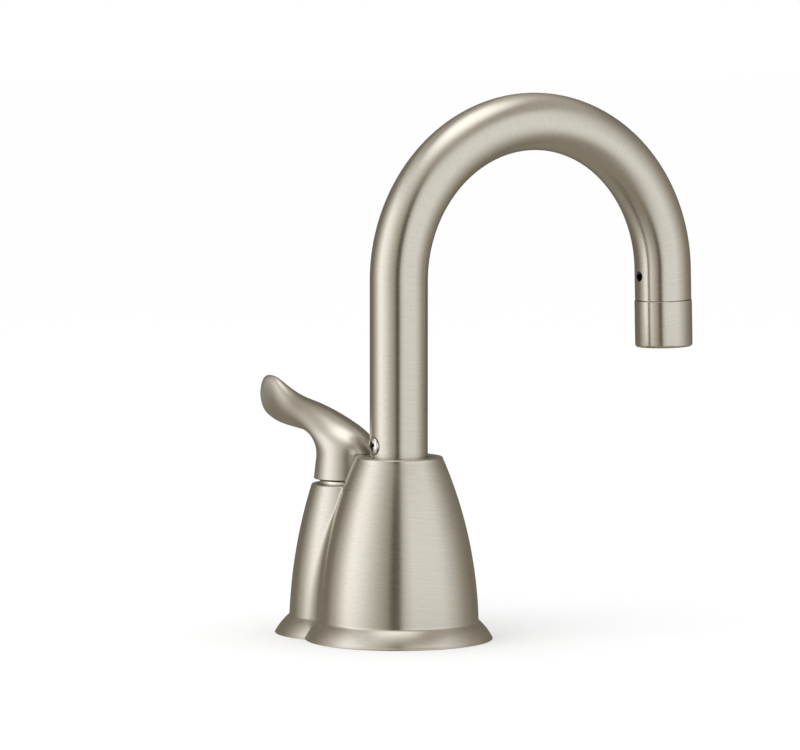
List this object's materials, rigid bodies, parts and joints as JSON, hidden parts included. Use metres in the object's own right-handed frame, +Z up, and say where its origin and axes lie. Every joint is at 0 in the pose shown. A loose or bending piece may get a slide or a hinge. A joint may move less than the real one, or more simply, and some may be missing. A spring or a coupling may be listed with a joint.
{
  "type": "instant hot water tap",
  "caption": "Deck-mounted hot water tap: bell base, swivelling gooseneck spout with outlet collar, side valve with wave-shaped lever, threaded shank and nut.",
  "frame": {"origin": "where the spout's swivel axis meets the deck, in the plane of the base's underside", "axes": "+Z up along the swivel axis and shank, +X the way the spout points at rest, the side valve 105.7 degrees round from +X towards +Y"},
  "size_m": [0.1536, 0.1007, 0.2524],
  "materials": {
    "satin_nickel": "satin brushed nickel",
    "polished_nickel": "polished nickel",
    "screw_steel": "bright plated steel",
    "brass": "machined brass",
    "zinc_steel": "zinc plated steel",
    "seal_rubber": "matt black rubber",
    "nylon": "natural nylon",
    "acetal": "white acetal",
    "ceramic": "fine ground ceramic"
  },
  "bodies": {
    "base": {"base_body": "satin_nickel", "base_gasket": "seal_rubber", "mounting_shank": "brass", "deck_washer": "zinc_steel", "mounting_nut": "brass", "swivel_post": "brass", "post_o_rings": "seal_rubber", "thrust_washer": "nylon", "neck_ring": "polished_nickel", "valve_body": "brass", "cold_inlet_nipple": "brass", "tank_feed_nipple": "brass", "cartridge_sleeve": "acetal", "stem_o_ring": "seal_rubber", "cartridge_nut": "brass", "disc_seal": "seal_rubber", "fixed_disc": "ceramic"},
    "spout": {"spout_tube": "satin_nickel", "spout_screw": "screw_steel", "outlet_collar": "satin_nickel", "flow_straightener": "acetal", "outlet_seal": "seal_rubber"},
    "lever": {"lever_handle": "satin_nickel", "lever_grub_screw": "screw_steel", "valve_stem": "brass", "moving_disc": "ceramic"}
  },
  "joints": [
    {"name": "spout_swivel", "type": "hinge", "parent": "base", "child": "spout", "pos_m": [0, 0, 0.05], "axis": [0, 0, 1], "continuous": true},
    {"name": "lever_turn", "type": "hinge", "parent": "base", "child": "lever", "pos_m": [-0.00679, 0.02416, 0.0546], "axis": [0, 0, -1], "range_deg": [0, 90]}
  ]
}
